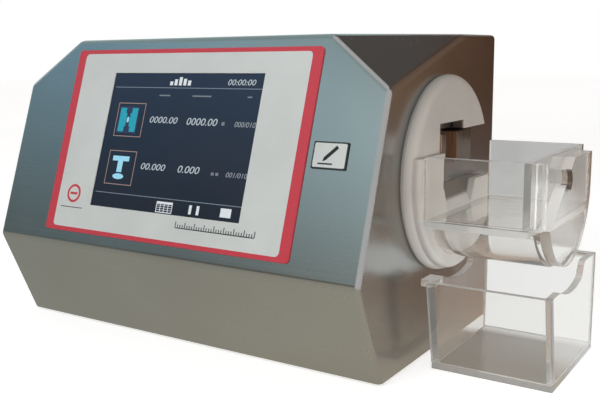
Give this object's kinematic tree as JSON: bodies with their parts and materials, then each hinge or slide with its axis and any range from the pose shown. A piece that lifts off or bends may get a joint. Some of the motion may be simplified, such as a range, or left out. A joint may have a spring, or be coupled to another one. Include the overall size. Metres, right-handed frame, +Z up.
{
  "type": "tablet hardness tester",
  "caption": "Bench tablet hardness tester: wedge-shaped steel housing with tilted touch screen, side jaws in a white surround, clear trough and clear collecting box",
  "frame": {"origin": "middle of the bounding box's base, on the table", "axes": "+X towards the jaws on the right side, -Y towards the user, +Z up"},
  "size_m": [0.3994, 0.2134, 0.2095],
  "materials": {
    "base_plate": "satin",
    "board_post_1": "turned",
    "board_post_2": "turned",
    "board_post_3": "turned",
    "board_post_4": "turned",
    "box_floor": "clear acrylic",
    "box_front_wall": "clear acrylic",
    "box_left_wall": "clear acrylic",
    "box_rear_wall": "clear acrylic",
    "box_right_wall": "clear acrylic",
    "display_bracket": "satin",
    "display_module": "satin black",
    "display_post_1": "turned",
    "display_post_2": "turned",
    "display_post_3": "turned",
    "display_post_4": "turned",
    "drive_motor": "satin black",
    "fixed_jaw": "polished steel",
    "foot_1": "matte",
    "foot_2": "matte",
    "foot_3": "matte",
    "foot_4": "matte",
    "front_overlay": "printed film",
    "guide_rod_1": "bright",
    "guide_rod_2": "bright",
    "hood": "brushed",
    "jaw_carriage": "satin",
    "jaw_surround": "machined white plastic",
    "lead_screw": "bright",
    "load_cell": "satin",
    "main_board": "solder mask",
    "mechanism_frame": "satin",
    "motor_shaft": "bright",
    "moving_jaw": "polished steel",
    "power_inlet": "moulded black",
    "power_supply": "satin",
    "printer_port": "bright",
    "rear_panel": "brushed",
    "rear_screw_1": "bright",
    "rear_screw_2": "bright",
    "rear_screw_3": "bright",
    "rear_screw_4": "bright",
    "rear_screw_5": "bright",
    "rear_screw_6": "bright",
    "screw_coupling": "satin",
    "serial_port": "bright",
    "stylus_label": "printed film",
    "switch_bezel": "moulded black",
    "switch_rocker": "moulded black",
    "touch_screen": "dark gloss",
    "trough_end_plate": "clear acrylic",
    "trough_end_wall": "clear acrylic",
    "trough_floor": "clear acrylic",
    "trough_front_wall": "clear acrylic",
    "trough_rear_wall": "clear acrylic",
    "trough_shell": "clear acrylic"
  },
  "bodies": {
    "housing": {"base_plate": "base_plate", "board_post_1": "board_post_1", "board_post_2": "board_post_2", "board_post_3": "board_post_3", "board_post_4": "board_post_4", "display_bracket": "display_bracket", "display_module": "display_module", "display_post_1": "display_post_1", "display_post_2": "display_post_2", "display_post_3": "display_post_3", "display_post_4": "display_post_4", "drive_motor": "drive_motor", "fixed_jaw": "fixed_jaw", "foot_1": "foot_1", "foot_2": "foot_2", "foot_3": "foot_3", "foot_4": "foot_4", "front_overlay": "front_overlay", "guide_rod_1": "guide_rod_1", "guide_rod_2": "guide_rod_2", "hood": "hood", "jaw_surround": "jaw_surround", "load_cell": "load_cell", "main_board": "main_board", "mechanism_frame": "mechanism_frame", "power_inlet": "power_inlet", "power_supply": "power_supply", "printer_port": "printer_port", "rear_panel": "rear_panel", "rear_screw_1": "rear_screw_1", "rear_screw_2": "rear_screw_2", "rear_screw_3": "rear_screw_3", "rear_screw_4": "rear_screw_4", "rear_screw_5": "rear_screw_5", "rear_screw_6": "rear_screw_6", "serial_port": "serial_port", "stylus_label": "stylus_label", "switch_bezel": "switch_bezel", "touch_screen": "touch_screen"},
    "jaw": {"jaw_carriage": "jaw_carriage", "moving_jaw": "moving_jaw"},
    "screw": {"lead_screw": "lead_screw", "motor_shaft": "motor_shaft", "screw_coupling": "screw_coupling"},
    "trough": {"trough_end_plate": "trough_end_plate", "trough_end_wall": "trough_end_wall", "trough_floor": "trough_floor", "trough_front_wall": "trough_front_wall", "trough_rear_wall": "trough_rear_wall", "trough_shell": "trough_shell"},
    "collecting_box": {"box_floor": "box_floor", "box_front_wall": "box_front_wall", "box_left_wall": "box_left_wall", "box_rear_wall": "box_rear_wall", "box_right_wall": "box_right_wall"},
    "rocker": {"switch_rocker": "switch_rocker"}
  },
  "joints": [
    {"name": "screw_turn", "type": "hinge", "parent": "housing", "child": "screw", "pos_m": [0.06735, 0.03919, 0.1368], "axis": [0, 1, 0], "range_deg": [0, 1530.1]},
    {"name": "jaw_slide", "type": "slide", "parent": "housing", "child": "jaw", "axis": [0, -1, 0], "range_m": [0, 0.017]},
    {"name": "trough_slide", "type": "slide", "parent": "housing", "child": "trough", "axis": [1, 0, 0], "range_m": [0, 0.08]},
    {"name": "box_slide", "type": "slide", "parent": "housing", "child": "collecting_box", "axis": [1, 0, 0], "range_m": [0, 0.09]},
    {"name": "rocker_tilt", "type": "hinge", "parent": "housing", "child": "rocker", "pos_m": [-0.11665, 0.09819, 0.0438], "axis": [1, 0, 0], "range_deg": [0, 18]}
  ],
  "couplings": [
    {"joint": "screw_turn", "follows": "jaw_slide", "rad_per_m": 1570.8}
  ]
}
